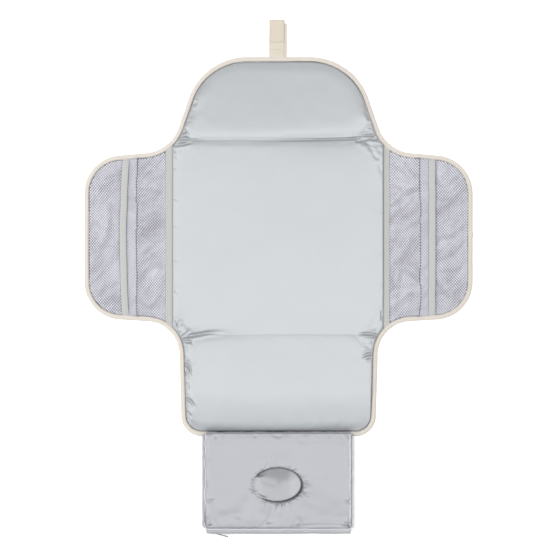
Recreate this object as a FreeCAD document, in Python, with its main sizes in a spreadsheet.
import FreeCAD, Part, Sketcher
import math
import os

"""Fold-up changing pad, modelled open and flat.

Frame: millimetres, +Z up. The origin is the centre of the centre panel, on its
underside. +Y runs towards the top flap and its closing strap, -Y towards the head
pillow. The mat is a fabric sandwich: outer shell, foam slabs and lining, all
edge-bound with tape. Two thin wings, at -X and +X, carry mesh pockets. The boxed
head pillow hangs on the lower panel and has an oval recess and a zip along its
far (-Y) wall.
"""

V = FreeCAD.Vector
os.makedirs("parts", exist_ok=True)
doc = FreeCAD.newDocument("changing_pad")

# ----------------------------------------------------------------------------
# driving dimensions, millimetres and degrees
# ----------------------------------------------------------------------------
DIMENSIONS = [
    # outline of the mat, right half: centre and radius of each corner arc
    ("flap_corner_cx", 48.3), ("flap_corner_cy", 182.0), ("flap_corner_rad", 97.0),
    ("cove_top_cx", 211.0), ("cove_top_cy", 188.4), ("cove_top_rad", 59.0),
    ("wing_up_cx", 242.5), ("wing_up_cy", 67.2), ("wing_up_rad", 59.0),
    ("wing_low_cx", 242.5), ("wing_low_cy", -70.0), ("wing_low_rad", 59.0),
    ("cove_low_cx", 206.1), ("cove_low_cy", -183.5), ("cove_low_rad", 52.0),
    ("low_corner_cx", 119.3), ("low_corner_cy", -278.0), ("low_corner_rad", 32.0),
    # fold lines, and half the gap left along each
    ("fold_flap_y", 150.4), ("fold_low_y", -151.2), ("fold_wing_x", 173.2),
    ("fold_gap", 0.2),
    # how far a cutting tool runs past the cloth it cuts
    ("tool_over", 1.0), ("hole_over", 5.0),
    # fabrics and foam
    ("bind_wide", 9.0), ("bind_thick", 0.6), ("bind_high", 3.6), ("bind_gap", 0.1),
    ("shell_thick", 1.0), ("rim_thick", 0.55), ("skin_thick", 0.5),
    ("rim_inset", 1.0), ("step_lap", 1.0),
    ("shell_rim_z", 0.65), ("skin_z", 1.30), ("pocket_out_z", 1.85),
    ("pocket_in_z", 2.40), ("tape_z", 2.95), ("tape_thick", 0.65),
    ("pad_inset", 9.6), ("pad_top", 13.2), ("pad_round", 8.0), ("pad_half_x", 163.4),
    ("foam_gap", 0.1),
    # wings
    ("seam_tape_in", 163.8), ("pocket_hem_x", 217.0), ("pocket_hem_wide", 5.0),
    ("hem_gap", 0.05), ("tape_in_x", 233.0), ("tape_wide", 10.5), ("mesh_short", 1.0),
    ("mesh_thick", 0.5),
    # strap, its hook patch and the loop patch let into the shell
    ("strap_x", -2.7), ("strap_wide", 24.0), ("strap_thick", 1.6), ("strap_z", 0.8),
    ("strap_root_y", 280.0), ("strap_mid_y", 299.5), ("strap_half_gap", 0.9),
    ("strap_end_y", 337.0),
    ("patch_thick", 1.6), ("patch_corner", 1.5), ("patch_margin", 0.3),
    ("patch_root_margin", 0.4), ("patch_gap", 0.05),
    ("loop_wide", 30.0), ("loop_long", 34.0), ("loop_y", -300.0),
    ("loop_thick", 0.6), ("loop_side_gap", 0.1),
    # pillow
    ("pillow_half_x", 115.5), ("pillow_near_y", -312.0), ("pillow_far_y", -454.0),
    ("pillow_high", 20.0), ("pillow_skin", 0.6), ("pillow_corner", 7.0),
    ("pillow_foam_gap", 0.3), ("pillow_foam_far_gap", 1.2), ("pillow_foam_corner", 6.0),
    ("recess_y", -384.4), ("recess_half_x", 39.5), ("recess_half_y", 27.5),
    ("recess_floor_z", 8.5), ("recess_foam_gap", 0.2), ("cup_gap", 0.1),
    ("cup_top_gap", 0.02), ("welt_rad", 1.3), ("welt_gap", 0.05),
    ("attach_half_x", 112.0), ("attach_z", 3.65), ("attach_thick", 0.6),
    ("attach_start", 1.5), ("attach_end", 10.6),
    # zip window in the far wall
    ("window_end", 3.0), ("window_outside", 2.0), ("window_inside", 3.0),
    ("window_half_z", 5.5),
    # zip tapes, teeth and stops
    ("zip_half_x", 108.0), ("zip_mid_z", 10.0), ("zip_tape_wide", 6.0),
    ("zip_tape_gap", 1.2), ("zip_tape_thick", 0.6), ("zip_tape_end", 2.0),
    ("zip_wall_gap", 0.1), ("teeth_wall_gap", 0.12), ("teeth_thick", 1.1),
    ("spine_near", 1.5), ("spine_far", 2.6), ("tooth_pitch", 2.0), ("tooth_gap", 0.4),
    ("tooth_root", 1.6), ("tooth_root_wide", 1.1), ("tooth_tip_wide", 0.5),
    ("tooth_start", 0.3), ("teeth_end_margin", 2.0),
    ("stop_near", 0.1), ("stop_far", 1.6), ("stop_outside", 2.1), ("stop_wall_gap", 0.15),
    # slider and puller
    ("slider_x", -102.0), ("slider_long", 11.0), ("slider_wide", 9.0),
    ("slider_front_out", 3.8), ("slider_front_near", 2.2), ("slider_lip_wide", 0.9),
    ("slider_round", 0.8), ("bail_half_x", 3.4),
    ("puller_long", 25.0), ("puller_wide", 6.5), ("puller_thick", 1.1),
    ("puller_angle", 15.0), ("puller_pivot", 4.7), ("puller_bevel", 2.0),
]
sheet = doc.addObject("Spreadsheet::Sheet", "params")
for row, (alias, number) in enumerate(DIMENSIONS, start=1):
    sheet.set("A%d" % row, alias)
    sheet.set("B%d" % row, repr(number))
    sheet.setAlias("B%d" % row, alias)
doc.recompute()


def dim(alias):
    """The number in the sheet's cell of that alias."""
    return float(sheet.get(alias))


def bind(obj, path, expression):
    """Drive a property by an expression in which $word is a cell of the sheet."""
    obj.setExpression(path, expression.replace("$", "params."))


# ----------------------------------------------------------------------------
# sketch helpers
# ----------------------------------------------------------------------------
def drive(sketch, constraint, expression):
    """Add a constraint whose value follows an expression."""
    index = sketch.addConstraint(constraint)
    bind(sketch, "Constraints[%d]" % index, expression)


def from_origin(axis, geometry, vertex, number):
    """The constraint that holds a vertex at a distance from the origin along an axis."""
    return Sketcher.Constraint("Distance" + axis, -1, 1, geometry, vertex, number)


def add_polygon(sketch, points):
    """Add a closed polygon through (x, y) points and return its lines."""
    count = len(points)
    corners = [V(x, y, 0) for x, y in points]
    lines = [sketch.addGeometry(Part.LineSegment(corners[i], corners[(i + 1) % count]), False)
             for i in range(count)]
    for i in range(count):
        sketch.addConstraint(
            Sketcher.Constraint("Coincident", lines[i], 2, lines[(i + 1) % count], 1))
    return lines


def add_rectangle(sketch, x_span, y_span):
    """A rectangle between two pairs of expressions."""
    x_seed, y_seed = 10, 5
    lines = add_polygon(sketch, [(-x_seed, -y_seed), (x_seed, -y_seed),
                                 (x_seed, y_seed), (-x_seed, y_seed)])
    for kind, i in (("Horizontal", 0), ("Horizontal", 2), ("Vertical", 1), ("Vertical", 3)):
        sketch.addConstraint(Sketcher.Constraint(kind, lines[i]))
    drive(sketch, from_origin("X", lines[0], 1, -x_seed), x_span[0])
    drive(sketch, from_origin("X", lines[1], 1, x_seed), x_span[1])
    drive(sketch, from_origin("Y", lines[0], 1, -y_seed), y_span[0])
    drive(sketch, from_origin("Y", lines[2], 1, y_seed), y_span[1])


def add_pinned_polygon(sketch, points):
    """A polygon held corner by corner.

    Each coordinate is a number, or a pair of a number and the expression that drives it.
    """
    pairs = [[c if isinstance(c, tuple) else (c, None) for c in point] for point in points]
    lines = add_polygon(sketch, [(x[0], y[0]) for x, y in pairs])
    for line, point in zip(lines, pairs):
        for axis, (number, expression) in zip("XY", point):
            constraint = from_origin(axis, line, 1, number)
            if expression:
                drive(sketch, constraint, expression)
            else:
                sketch.addConstraint(constraint)


# ----------------------------------------------------------------------------
# the mat's outline: twelve arcs joined by tangent lines
# ----------------------------------------------------------------------------
ARCS = [  # name, +1 where the outline turns right going clockwise, -1 at a cove
    ("flap_corner", 1), ("cove_top", -1), ("wing_up", 1),
    ("wing_low", 1), ("cove_low", -1), ("low_corner", 1),
]


def tangent(centre_a, radius_a, turn_a, centre_b, radius_b, turn_b):
    """The two touch points of the directed line from one circle to the next."""
    span = centre_b - centre_a
    length = span.Length
    along = V(span.x / length, span.y / length, 0)
    right = V(along.y, -along.x, 0)
    sine = (turn_b * radius_b - turn_a * radius_a) / length
    cosine = math.sqrt(1 - sine * sine)
    normal = along * sine + right * cosine
    return centre_a - normal * (turn_a * radius_a), centre_b - normal * (turn_b * radius_b)


def outline_sketch(name):
    sketch = doc.addObject("Sketcher::SketchObject", name)
    circles = []  # arc name, turn, centre, radius, side
    for side, arcs_of_side in ((1, ARCS), (-1, ARCS[::-1])):
        for arc, turn in arcs_of_side:
            centre = V(side * dim(arc + "_cx"), dim(arc + "_cy"), 0)
            circles.append((arc, turn, centre, dim(arc + "_rad"), side))
    count = len(circles)
    touch = []
    for i in range(count):
        _, turn_a, centre_a, radius_a, _ = circles[i]
        _, turn_b, centre_b, radius_b, _ = circles[(i + 1) % count]
        touch.append(tangent(centre_a, radius_a, turn_a, centre_b, radius_b, turn_b))

    arcs, lines = [], []
    for i, (_, turn, centre, radius, _) in enumerate(circles):
        low, high = [math.atan2(point.y - centre.y, point.x - centre.x)
                     for point in (touch[i - 1][1], touch[i][0])]
        if turn > 0:  # clockwise travel, so the arc runs backwards
            low, high = high, low
        if high < low:
            high += 2 * math.pi
        circle = Part.Circle(centre, V(0, 0, 1), radius)
        arcs.append(sketch.addGeometry(Part.ArcOfCircle(circle, low, high), False))
        lines.append(sketch.addGeometry(Part.LineSegment(*touch[i]), False))

    for i in range(count):
        after = (i + 1) % count
        leaving = 1 if circles[i][1] > 0 else 2
        entering = 2 if circles[after][1] > 0 else 1
        sketch.addConstraint(Sketcher.Constraint("Tangent", arcs[i], leaving, lines[i], 1))
        sketch.addConstraint(Sketcher.Constraint("Tangent", lines[i], 2, arcs[after], entering))
    for geometry, (arc, _, centre, radius, side) in zip(arcs, circles):
        sign = "" if side > 0 else "-"
        drive(sketch, Sketcher.Constraint("Radius", geometry, radius), "$%s_rad" % arc)
        drive(sketch, from_origin("X", geometry, 3, centre.x), "%s$%s_cx" % (sign, arc))
        drive(sketch, from_origin("Y", geometry, 3, centre.y), "$%s_cy" % arc)
    return sketch


outline = outline_sketch("mat_outline")
doc.recompute()


# ----------------------------------------------------------------------------
# solid helpers
# ----------------------------------------------------------------------------
offsets = {}
nodes = []


def node(obj, label):
    """Name an object as one of the exported pieces."""
    obj.Label = label
    nodes.append(obj)


def inset(expression):
    """The outline moved inwards by an expression, made once for each expression."""
    if expression not in offsets:
        offset = doc.addObject("Part::Offset2D", "inset_%d" % len(offsets))
        offset.Source = outline
        offset.Mode = "Pipe"
        offset.Join = "Arc"
        bind(offset, "Value", "-(%s)" % expression)
        offsets[expression] = offset
    return offsets[expression]


def extrude(name, profile, z, thick):
    solid = doc.addObject("Part::Extrusion", name)
    solid.Base = profile
    solid.DirMode = "Custom"
    solid.Dir = V(0, 0, 1)
    solid.Solid = True
    bind(solid, "LengthFwd", thick)
    bind(solid, "Placement.Base.z", z)
    return solid


def slab(name, inset_by, z, thick):
    """A flat slab of the outline, moved inwards, from height z upwards."""
    return extrude(name, inset(inset_by), z, thick)


def box(name, x_span, y_span, z_span):
    """A box between three pairs of expressions."""
    solid = doc.addObject("Part::Box", name)
    for size, axis, (low, high) in zip(("Length", "Width", "Height"), "xyz",
                                       (x_span, y_span, z_span)):
        bind(solid, size, "(%s) - (%s)" % (high, low))
        bind(solid, "Placement.Base." + axis, low)
    return solid


def boolean(kind, name, base, tool):
    result = doc.addObject("Part::" + kind, name)
    result.Base = base
    result.Tool = tool
    return result


def cut(name, base, tool):
    return boolean("Cut", name, base, tool)


def common(name, base, tool):
    return boolean("Common", name, base, tool)


def fuse(name, *shapes):
    result = doc.addObject("Part::MultiFuse", name)
    result.Shapes = list(shapes)
    result.Refine = True
    return result


def round_edges(name, base, radius, pick):
    """Fillet the edges for which pick(edge, bounds of the base) is true."""
    doc.recompute()
    bounds = base.Shape.BoundBox
    fillet = doc.addObject("Part::Fillet", name)
    fillet.Base = base
    fillet.Edges = [(i, radius, radius) for i, edge in enumerate(base.Shape.Edges, start=1)
                    if pick(edge, bounds)]
    return fillet


def body_sketch(body, name, plane_role):
    """An empty sketch on one of a body's origin planes."""
    sketch = body.newObject("Sketcher::SketchObject", name)
    plane = [f for f in body.Origin.OriginFeatures if f.Role == plane_role][0]
    sketch.AttachmentSupport = [(plane, "")]
    sketch.MapMode = "FlatFace"
    return sketch


def pad_sketch(body, name, sketch, thick, midplane=False):
    pad = body.newObject("PartDesign::Pad", name)
    pad.Profile = sketch
    if midplane:
        pad.Midplane = True
    bind(pad, "Length", thick)
    doc.recompute()
    return pad


def rect_body(name, x_span, y_span, z, thick, corner=None):
    """A body padded up from a rectangle, its upright edges rounded if corner is given."""
    body = doc.addObject("PartDesign::Body", name)
    sketch = body_sketch(body, name + "_sketch", "XY_Plane")
    add_rectangle(sketch, x_span, y_span)
    bind(body, "Placement.Base.z", z)
    pad = pad_sketch(body, name + "_pad", sketch, thick)
    if corner:
        fillet = body.newObject("PartDesign::Fillet", name + "_corners")
        upright = ["Edge%d" % i for i, edge in enumerate(pad.Shape.Edges, start=1)
                   if abs(edge.tangentAt(edge.FirstParameter).z) > 0.99]
        fillet.Base = (pad, upright)
        bind(fillet, "Radius", corner)
        doc.recompute()
    return body


# ----------------------------------------------------------------------------
# the regions that cut the mat into its rigid panels
# ----------------------------------------------------------------------------
BEYOND = "400"  # outside the mat on every side
ALL_X = ("-" + BEYOND, BEYOND)
ALL_Z = ("-5", "60")
MIDDLE_Y = ("$fold_low_y + $fold_gap", "$fold_flap_y - $fold_gap")
SPANS = {  # x span, y span
    "centre": (("-$fold_wing_x + $fold_gap", "$fold_wing_x - $fold_gap"), MIDDLE_Y),
    "top_flap": (ALL_X, ("$fold_flap_y + $fold_gap", BEYOND)),
    "lower_panel": (ALL_X, ("-" + BEYOND, "$fold_low_y - $fold_gap")),
    "left_wing": (("-" + BEYOND, "-$fold_wing_x - $fold_gap"), MIDDLE_Y),
    "right_wing": (("$fold_wing_x + $fold_gap", BEYOND), MIDDLE_Y),
}
regions = {panel: box("region_" + panel, *spans, ALL_Z) for panel, spans in SPANS.items()}

# ----------------------------------------------------------------------------
# outer shell: flat face cloth, stepped up where it enters the binding
# ----------------------------------------------------------------------------
FACE_INSET = "$bind_wide + $bind_gap"
shell_face = slab("shell_face", FACE_INSET, "0", "$shell_thick")
shell_rim_out = slab("shell_rim_out", "$rim_inset", "$shell_rim_z", "$rim_thick")
shell_rim_in = slab("shell_rim_in", FACE_INSET + " + $step_lap", "-$tool_over",
                    "$shell_rim_z + $rim_thick + 2 * $tool_over")
shell_all = fuse("shell_all", shell_face, cut("shell_rim", shell_rim_out, shell_rim_in))

loop_pocket = box("loop_pocket",
                  ("$strap_x - $loop_wide / 2 - $loop_side_gap",
                   "$strap_x + $loop_wide / 2 + $loop_side_gap"),
                  ("$loop_y - $loop_side_gap", "$loop_y + $loop_long + $loop_side_gap"),
                  ("-$tool_over", "$loop_thick + $patch_gap"))
for panel in SPANS:
    piece = common("shell_cut_" + panel, shell_all, regions[panel])
    if panel == "lower_panel":
        piece = cut("shell_lower_pocketed", piece, loop_pocket)
    node(piece, "outer_shell_" + panel)

# ----------------------------------------------------------------------------
# binding: a folded tape round the whole edge, U-shaped in section
# ----------------------------------------------------------------------------
bind_solid = extrude("bind_solid", outline, "0", "$bind_high")
bind_inner = slab("bind_inner", "$bind_wide", "-$tool_over", "$bind_high + 2 * $tool_over")
bind_ring = cut("bind_ring", bind_solid, bind_inner)
bind_slot = slab("bind_slot", "$bind_thick", "$bind_thick", "$bind_high - 2 * $bind_thick")
bind_all = cut("bind_all", bind_ring, bind_slot)
for panel in SPANS:
    node(common("bind_cut_" + panel, bind_all, regions[panel]), "binding_" + panel)

# ----------------------------------------------------------------------------
# foam slabs and the lining drawn over them
# ----------------------------------------------------------------------------
PAD_SPANS = {
    "centre": (("-$pad_half_x", "$pad_half_x"), MIDDLE_Y),
    "top_flap": SPANS["top_flap"],
    "lower_panel": SPANS["lower_panel"],
}


def pad_solid(tag, panel, layers, z):
    """A slab of one padded panel with its top edge rounded.

    layers are the aliases of the thicknesses it lies inside, at its sides and top.
    """
    name = "%s_" + "%s_%s" % (tag, panel)
    depth = " + ".join("$" + alias for alias in layers) or "0"
    base = slab(name % "pad_slab", " + ".join("$" + alias for alias in ["pad_inset"] + layers),
                z, "$pad_top - (%s) - (%s)" % (depth, z))
    spans = [("(%s) + (%s)" % (low, depth), "(%s) - (%s)" % (high, depth))
             for low, high in PAD_SPANS[panel]]
    body = common(name % "pad_body", base, box(name % "pad_clip", *spans, ALL_Z))
    radius = dim("pad_round") - sum(dim(alias) for alias in layers)
    return round_edges(name % "pad_round", body, radius,
                       lambda edge, bounds: edge.BoundBox.ZMin > bounds.ZMax - 1e-4)


for panel in PAD_SPANS:
    outer = pad_solid("lining", panel, [], "$skin_z")
    hollow = pad_solid("hollow", panel, ["skin_thick"], "$skin_z")
    foam = pad_solid("foam", panel, ["skin_thick", "foam_gap"], "$skin_z + $foam_gap")
    node(foam, "foam_" + panel)
    cover = cut("lining_cover_" + panel, outer, hollow)
    rim_out = slab("lining_rim_out_" + panel, "$rim_inset", "$skin_z", "$skin_thick")
    rim_cut = common("lining_rim_clip_" + panel, rim_out, regions[panel])
    # the rim is opened under the hollow and meets the foot of the cover, making one cloth
    foot = common("lining_foot_" + panel, rim_cut, hollow)
    rim = cut("lining_rim_" + panel, rim_cut, foot)
    node(fuse("lining_all_" + panel, cover, rim), "lining_" + panel)

# ----------------------------------------------------------------------------
# wings: backing cloth, two mesh pockets, their tapes
# ----------------------------------------------------------------------------
STRIP_Y = ("-200", "200")
wing_skin = slab("wing_skin", "$rim_inset", "$skin_z", "$skin_thick")
mesh_out = slab("mesh_out", "$rim_inset", "$pocket_out_z", "$mesh_thick")
mesh_in = slab("mesh_in", "$rim_inset", "$pocket_in_z", "$mesh_thick")
tape_face = slab("tape_face", FACE_INSET, "$tape_z", "$tape_thick")
seam_face = slab("seam_face", FACE_INSET, "$pocket_out_z", "$tape_thick")
hem_face = slab("hem_slab", FACE_INSET, "$pocket_out_z", "$mesh_thick")

WING_STRIPS = [  # label, band name, piece name, cloth, x from and to on the +X side
    ("mesh_outer_pocket_", "band_out_", "mesh_out_cut_", mesh_out,
     "$pocket_hem_x", BEYOND),
    ("mesh_inner_pocket_", "band_in_", "mesh_in_near_", mesh_in,
     "$fold_wing_x + $fold_gap", "$tape_in_x + $tape_wide - $mesh_short"),
    ("pocket_mouth_tape_", "band_mouth_", "tape_mouth_", tape_face,
     "$tape_in_x", "$tape_in_x + $tape_wide"),
    # the hem lies just beside the outer pocket's mesh
    ("pocket_hem_", "band_hem_in_", "hem_cut_", hem_face,
     "$pocket_hem_x - $pocket_hem_wide", "$pocket_hem_x - $hem_gap"),
    ("pad_seam_tape_", "band_seam_", "seam_cut_", seam_face,
     "$seam_tape_in", "$fold_wing_x - $fold_gap"),
]
for wing in ("left_wing", "right_wing"):
    node(common("skin_cut_" + wing, wing_skin, regions[wing]), "lining_" + wing)
    for label, band_name, piece_name, cloth, x_from, x_to in WING_STRIPS:
        x_span = (x_from, x_to)
        if wing == "left_wing":
            x_span = ("-(%s)" % x_to, "-(%s)" % x_from)
        band = box(band_name + wing, x_span, STRIP_Y, ALL_Z)
        node(common(piece_name + wing, cloth, band), label + wing)

# ----------------------------------------------------------------------------
# closing strap: a neck of webbing, the end of webbing, and its two patches
# ----------------------------------------------------------------------------
STRAP_X = ("$strap_x - $strap_wide / 2", "$strap_x + $strap_wide / 2")
node(rect_body("strap_neck_body", STRAP_X,
               ("$strap_root_y", "$strap_mid_y - $strap_half_gap"),
               "$strap_z", "$strap_thick"), "strap_neck")
node(rect_body("strap_end_body", STRAP_X,
               ("$strap_mid_y + $strap_half_gap", "$strap_end_y"),
               "$strap_z", "$strap_thick"), "strap_end")
node(rect_body("hook_patch_body",
               (STRAP_X[0] + " + $patch_margin", STRAP_X[1] + " - $patch_margin"),
               ("$strap_mid_y + $strap_half_gap + $patch_root_margin",
                "$strap_end_y - $patch_margin"),
               "$strap_z + $strap_thick + $patch_gap", "$patch_thick", "$patch_corner"),
     "hook_patch")
node(rect_body("loop_patch_body",
               ("$strap_x - $loop_wide / 2", "$strap_x + $loop_wide / 2"),
               ("$loop_y", "$loop_y + $loop_long"),
               "0", "$loop_thick", "$patch_corner"), "loop_patch")

# ----------------------------------------------------------------------------
# head pillow: base cloth, boxing wall, top cloth, recess liner, foam
# ----------------------------------------------------------------------------
PILLOW_X = ("-$pillow_half_x", "$pillow_half_x")
PILLOW_Y = ("$pillow_far_y", "$pillow_near_y")
node(rect_body("pillow_base_body", PILLOW_X, PILLOW_Y, "0", "$pillow_skin", "$pillow_corner"),
     "pillow_base_cloth")

wall_out = rect_body("pillow_wall_out", PILLOW_X, PILLOW_Y,
                     "$pillow_skin", "$pillow_high - 2 * $pillow_skin", "$pillow_corner")
wall_in = rect_body("pillow_wall_in",
                    ("-$pillow_half_x + $pillow_skin", "$pillow_half_x - $pillow_skin"),
                    ("$pillow_far_y + $pillow_skin", "$pillow_near_y - $pillow_skin"),
                    "$pillow_skin - $tool_over", "$pillow_high + 2 * $tool_over",
                    "$pillow_corner - $pillow_skin")
zip_window = box("zip_window",
                 ("-$zip_half_x - $window_end", "$zip_half_x + $window_end"),
                 ("$pillow_far_y - $window_outside", "$pillow_far_y + $window_inside"),
                 ("$zip_mid_z - $window_half_z", "$zip_mid_z + $window_half_z"))
node(cut("pillow_boxing_cut", cut("pillow_wall", wall_out, wall_in), zip_window),
     "pillow_boxing")


def oval(name, grow, z, thick):
    """An upright prism on the recess's ellipse, its radii grown by an expression."""
    curve = doc.addObject("Part::Ellipse", name + "_curve")
    bind(curve, "MajorRadius", "$recess_half_x + (%s)" % grow)
    bind(curve, "MinorRadius", "$recess_half_y + (%s)" % grow)
    bind(curve, "Placement.Base.y", "$recess_y")
    return extrude(name, curve, z, thick)


top_plain = rect_body("pillow_top_plain", PILLOW_X, PILLOW_Y,
                      "$pillow_high - $pillow_skin", "$pillow_skin", "$pillow_corner")
top_hole = oval("pillow_top_hole", "0", "$pillow_high - $hole_over", "2 * $hole_over")
node(cut("pillow_top_cut", top_plain, top_hole), "pillow_top_cloth")

cup_out = oval("cup_out", "-$cup_gap", "$recess_floor_z",
               "$pillow_high - $recess_floor_z - $cup_top_gap")
cup_in = oval("cup_in", "-$cup_gap - $pillow_skin", "$recess_floor_z + $pillow_skin",
              "$pillow_high")
node(cut("recess_liner_cut", cup_out, cup_in), "recess_liner")

foam_plain = rect_body("pillow_foam_plain",
                       ("-$pillow_half_x + $pillow_skin + $pillow_foam_gap",
                        "$pillow_half_x - $pillow_skin - $pillow_foam_gap"),
                       ("$pillow_far_y + $pillow_skin + $pillow_foam_far_gap",
                        "$pillow_near_y - $pillow_skin - $pillow_foam_gap"),
                       "$pillow_skin + $foam_gap",
                       "$pillow_high - 2 * $pillow_skin - 2 * $foam_gap",
                       "$pillow_foam_corner")
foam_hole = oval("foam_hole", "$recess_foam_gap", "$recess_floor_z - $pillow_foam_gap",
                 "$pillow_high")
node(cut("pillow_foam_cut", foam_plain, foam_hole), "pillow_foam")


# ----------------------------------------------------------------------------
# welt cord round the top seam: a rod swept along a rounded rectangle
# ----------------------------------------------------------------------------
def welt_path_sketch():
    """Four lines and four corner arcs in turn, anticlockwise from the far (-Y) side."""
    sketch = doc.addObject("Sketcher::SketchObject", "welt_path")
    radius = dim("pillow_corner") + dim("welt_rad") + dim("welt_gap")
    right = dim("pillow_half_x") - dim("pillow_corner")
    far_y = dim("pillow_far_y") + dim("pillow_corner")
    near_y = dim("pillow_near_y") - dim("pillow_corner")
    quarter = math.pi / 2
    corners = [  # centre and starting angle of each arc
        (V(right, far_y, 0), -quarter), (V(right, near_y, 0), 0),
        (V(-right, near_y, 0), quarter), (V(-right, far_y, 0), math.pi),
    ]

    def rim_point(centre, angle):
        return centre + V(math.cos(angle), math.sin(angle), 0) * radius

    for i, (centre, angle) in enumerate(corners):
        centre_before, angle_before = corners[i - 1]
        start = rim_point(centre_before, angle_before + quarter)
        sketch.addGeometry(Part.LineSegment(start, rim_point(centre, angle)), False)
        circle = Part.Circle(centre, V(0, 0, 1), radius)
        sketch.addGeometry(Part.ArcOfCircle(circle, angle, angle + quarter), False)
    for i in range(8):
        sketch.addConstraint(Sketcher.Constraint("Tangent", i, 2, (i + 1) % 8, 1))
    for arc in (1, 3, 5, 7):
        drive(sketch, Sketcher.Constraint("Radius", arc, radius),
              "$pillow_corner + $welt_rad + $welt_gap")
    drive(sketch, from_origin("X", 1, 3, right), "$pillow_half_x - $pillow_corner")
    drive(sketch, from_origin("Y", 1, 3, far_y), "$pillow_far_y + $pillow_corner")
    drive(sketch, from_origin("X", 5, 3, -right), "-$pillow_half_x + $pillow_corner")
    drive(sketch, from_origin("Y", 5, 3, near_y), "$pillow_near_y - $pillow_corner")
    return sketch


welt_path = welt_path_sketch()
welt_round = doc.addObject("Part::Circle", "welt_round")
bind(welt_round, "Radius", "$welt_rad")
welt_round.Placement = FreeCAD.Placement(V(0, 0, 0), FreeCAD.Rotation(V(0, 1, 0), 90))
bind(welt_round, "Placement.Base.y", "$pillow_far_y - $welt_rad - $welt_gap")
doc.recompute()
welt = doc.addObject("Part::Sweep", "welt_sweep")
welt.Sections = [welt_round]
welt.Spine = (welt_path, ["Edge%d" % i for i in range(1, 9)])
welt.Solid = True
welt.Frenet = False
welt.Transition = "Round corner"
bind(welt, "Placement.Base.z", "$pillow_high - $welt_rad")
node(welt, "pillow_welt")

# the strip that hangs the pillow on the mat's lower edge, over the binding
node(rect_body("attach_body", ("-$attach_half_x", "$attach_half_x"),
               ("$pillow_near_y + $attach_start", "$pillow_near_y + $attach_end"),
               "$attach_z", "$attach_thick"), "pillow_attaching_strip")

# ----------------------------------------------------------------------------
# zip: two tapes, two rows of teeth, stops
# ----------------------------------------------------------------------------
TAPE_X = ("-$zip_half_x - $zip_tape_end", "$zip_half_x + $zip_tape_end")
TAPE_Y = ("$pillow_far_y - $zip_wall_gap - $zip_tape_thick", "$pillow_far_y - $zip_wall_gap")
node(box("zip_tape_up", TAPE_X, TAPE_Y,
         ("$zip_mid_z + $zip_tape_gap", "$zip_mid_z + $zip_tape_gap + $zip_tape_wide")),
     "zip_tape_upper")
node(box("zip_tape_down", TAPE_X, TAPE_Y,
         ("$zip_mid_z - $zip_tape_gap - $zip_tape_wide", "$zip_mid_z - $zip_tape_gap")),
     "zip_tape_lower")


def teeth_row(name, side):
    """One row of zip teeth: a spine on the tape and a tooth at every pitch.

    side is +1 above the zip's middle and -1 below; the upper row is half a pitch along.
    """
    body = doc.addObject("PartDesign::Body", name)
    spine_sketch = body_sketch(body, name + "_spine_sketch", "XZ_Plane")
    spine_z = ("$spine_near", "$spine_far") if side > 0 else ("-$spine_far", "-$spine_near")
    add_rectangle(spine_sketch, ("-$zip_half_x", "$zip_half_x"), spine_z)
    pad_sketch(body, name + "_spine", spine_sketch, "$teeth_thick")

    tooth_sketch = body_sketch(body, name + "_tooth_sketch", "XZ_Plane")
    pitch = dim("tooth_pitch")
    start = -dim("zip_half_x") + dim("tooth_start") + (pitch / 2 if side > 0 else 0)
    root_wide, tip_wide = dim("tooth_root_wide"), dim("tooth_tip_wide")
    root, tip = side * dim("tooth_root"), side * dim("tooth_gap")
    add_pinned_polygon(tooth_sketch, [
        (start, root), (start + root_wide, root),
        (start + (root_wide + tip_wide) / 2, tip), (start + (root_wide - tip_wide) / 2, tip),
    ])
    tooth = pad_sketch(body, name + "_tooth", tooth_sketch, "$teeth_thick")

    pattern = body.newObject("PartDesign::LinearPattern", name + "_pattern")
    pattern.Originals = [tooth]
    pattern.Direction = (spine_sketch, ["H_Axis"])
    count = int((2 * dim("zip_half_x") - dim("teeth_end_margin")) / pitch)
    pattern.Length = (count - 1) * pitch
    pattern.Occurrences = count
    body.Tip = pattern
    doc.recompute()
    bind(body, "Placement.Base.z", "$zip_mid_z")
    bind(body, "Placement.Base.y", "$pillow_far_y - $teeth_wall_gap - $zip_tape_thick")
    doc.recompute()
    return body


node(teeth_row("teeth_up", 1), "zip_teeth_upper")
node(teeth_row("teeth_down", -1), "zip_teeth_lower")

STOP_Y = ("$pillow_far_y - $stop_outside", "$pillow_far_y - $stop_wall_gap - $zip_tape_thick")
STOP_Z = ("$zip_mid_z - $spine_far", "$zip_mid_z + $spine_far")
stops = doc.addObject("Part::Compound", "zip_stop_pair")
stops.Links = [
    box("stop_left", ("-$zip_half_x - $stop_far", "-$zip_half_x - $stop_near"), STOP_Y, STOP_Z),
    box("stop_right", ("$zip_half_x + $stop_near", "$zip_half_x + $stop_far"), STOP_Y, STOP_Z),
]
node(stops, "zip_stops")

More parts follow.
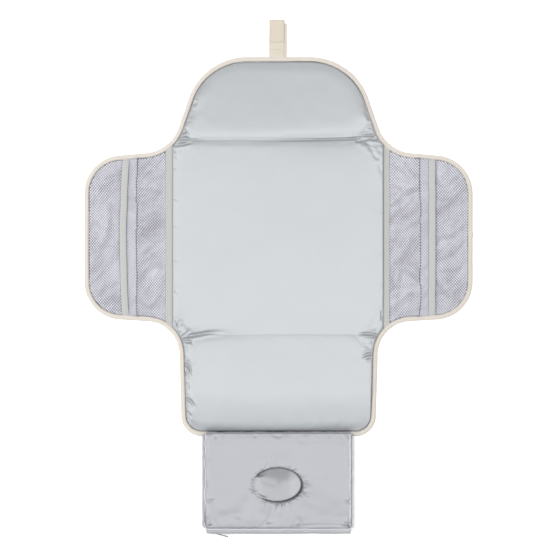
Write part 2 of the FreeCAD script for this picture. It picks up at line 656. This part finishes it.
# ----------------------------------------------------------------------------
# slider: front and back plates joined by a thin wedge, lips, and a bail arched
# over the front plate
# ----------------------------------------------------------------------------
SLIDER_X = ("-$slider_long / 2", "$slider_long / 2")
SLIDER_Z = ("-$slider_wide / 2", "$slider_wide / 2")
LIP_Y = ("-2.4", "-1.0")
SLIDER_BOXES = [  # name; x, y, z spans from the slider's middle on the far wall's face
    ("slider_front", SLIDER_X, ("-$slider_front_out", "-$slider_front_near"), SLIDER_Z),
    ("slider_back", SLIDER_X, ("0.1", "1.0"), SLIDER_Z),
    ("slider_wedge", (SLIDER_X[0] + " + 0.5", SLIDER_X[0] + " + 5.5"),
     ("-2.4", "0.2"), ("-0.3", "0.3")),
    ("slider_lip_up", SLIDER_X, LIP_Y, (SLIDER_Z[1] + " - $slider_lip_wide", SLIDER_Z[1])),
    ("slider_lip_down", SLIDER_X, LIP_Y, (SLIDER_Z[0], SLIDER_Z[0] + " + $slider_lip_wide")),
    ("bail_out", ("-$bail_half_x", "$bail_half_x"), ("-6.6", "-3.7"), ("-1", "1")),
    ("bail_in", ("-2.0", "2.0"), ("-5.6", "-3.8"), ("-2", "2")),
]


def slider_box(name, *spans):
    middle = ("$slider_x", "$pillow_far_y", "$zip_mid_z")
    return box(name, *[("%s + (%s)" % (origin, low), "%s + (%s)" % (origin, high))
                       for origin, (low, high) in zip(middle, spans)])


def slider_edge(edge, bounds):
    """The front plate's four corner edges along Y and the bail's two outer shoulders."""
    if edge.Curve.TypeId != "Part::GeomLine":
        return False
    direction = edge.tangentAt(edge.FirstParameter)
    middle = edge.CenterOfMass
    from_x = abs(middle.x - dim("slider_x"))
    from_z = abs(middle.z - dim("zip_mid_z"))
    plate_y = dim("pillow_far_y") - (dim("slider_front_out") + dim("slider_front_near")) / 2
    on_plate = abs(direction.y) > 0.99 and abs(middle.y - plate_y) < 0.9 and edge.Length > 1.2
    at_corner = (abs(from_x - dim("slider_long") / 2) < 1e-3
                 and abs(from_z - dim("slider_wide") / 2) < 1e-3)
    shoulder = (abs(direction.z) > 0.99 and abs(middle.y - bounds.YMin) < 1e-3
                and abs(from_x - dim("bail_half_x")) < 1e-3)
    return (on_plate and at_corner) or shoulder


*slider_parts, bail_out, bail_in = [slider_box(*entry) for entry in SLIDER_BOXES]
slider_raw = fuse("slider_raw", *slider_parts, cut("bail", bail_out, bail_in))
node(round_edges("slider_rounded", slider_raw, dim("slider_round"), slider_edge), "zip_slider")


# ----------------------------------------------------------------------------
# puller: a flat blade, narrower at the bail, with a slot there and an eye at its end
# ----------------------------------------------------------------------------
def puller_body():
    body = doc.addObject("PartDesign::Body", "puller_body")
    length, half_wide, bevel = dim("puller_long"), dim("puller_wide") / 2, dim("puller_bevel")
    end = (length, "$puller_long")
    bevel_x = (length - bevel, "$puller_long - $puller_bevel")
    low = (-half_wide, "-$puller_wide / 2")
    high = (half_wide, "$puller_wide / 2")
    neck_x, blade_x, root_x = 4.5, 9, -0.6
    neck_half = 2.6
    tip_half = half_wide - 1.6
    sketch = body_sketch(body, "puller_sketch", "XZ_Plane")
    add_pinned_polygon(sketch, [
        (root_x, -neck_half), (neck_x, -neck_half), (blade_x, low), (bevel_x, low),
        (end, -tip_half), (end, tip_half),
        (bevel_x, high), (blade_x, high), (neck_x, neck_half), (root_x, neck_half),
    ])
    pad_sketch(body, "puller_blade", sketch, "$puller_thick", midplane=True)

    sketch = body_sketch(body, "puller_slot_sketch", "XZ_Plane")
    holes = [  # x from, x to, half width: the slot, then the eye
        (0.6, 5.4, 1.5),
        (length - 8, length - 3, 1.2),
    ]
    for x0, x1, half in holes:
        add_pinned_polygon(sketch, [(x0, -half), (x1, -half), (x1, half), (x0, half)])
    slot = body.newObject("PartDesign::Pocket", "puller_slot")
    slot.Profile = sketch
    slot.Type = "ThroughAll"
    slot.Midplane = True
    doc.recompute()

    turn = FreeCAD.Rotation(V(0, 0, 1), -dim("puller_angle"))
    body.Placement = FreeCAD.Placement(V(0, 0, 0), turn)
    bind(body, "Placement.Base.x", "$slider_x")
    bind(body, "Placement.Base.y", "$pillow_far_y - $puller_pivot")
    bind(body, "Placement.Base.z", "$zip_mid_z")
    return body


node(puller_body(), "zip_puller")

# ----------------------------------------------------------------------------
# check and write
# ----------------------------------------------------------------------------
doc.recompute()
bad = [obj.Name for obj in doc.Objects if set(obj.State) & {"Invalid", "Error"}]
if bad:
    raise RuntimeError("objects in error: %s" % bad)
written = set()
for obj in nodes:
    shape = obj.Shape
    if shape.isNull() or not shape.isValid() or not shape.Solids:
        raise RuntimeError("%s has no valid solid" % obj.Label)
    if obj.Label in written:
        raise RuntimeError("two nodes are called %s" % obj.Label)
    written.add(obj.Label)
    solids = shape.Solids
    whole = solids[0] if len(solids) == 1 else Part.makeCompound(solids)
    whole.exportStep(os.path.join("parts", obj.Label + ".step"))
for stale in os.listdir("parts"):
    if stale.endswith(".step") and stale[:-5] not in written:
        os.remove(os.path.join("parts", stale))
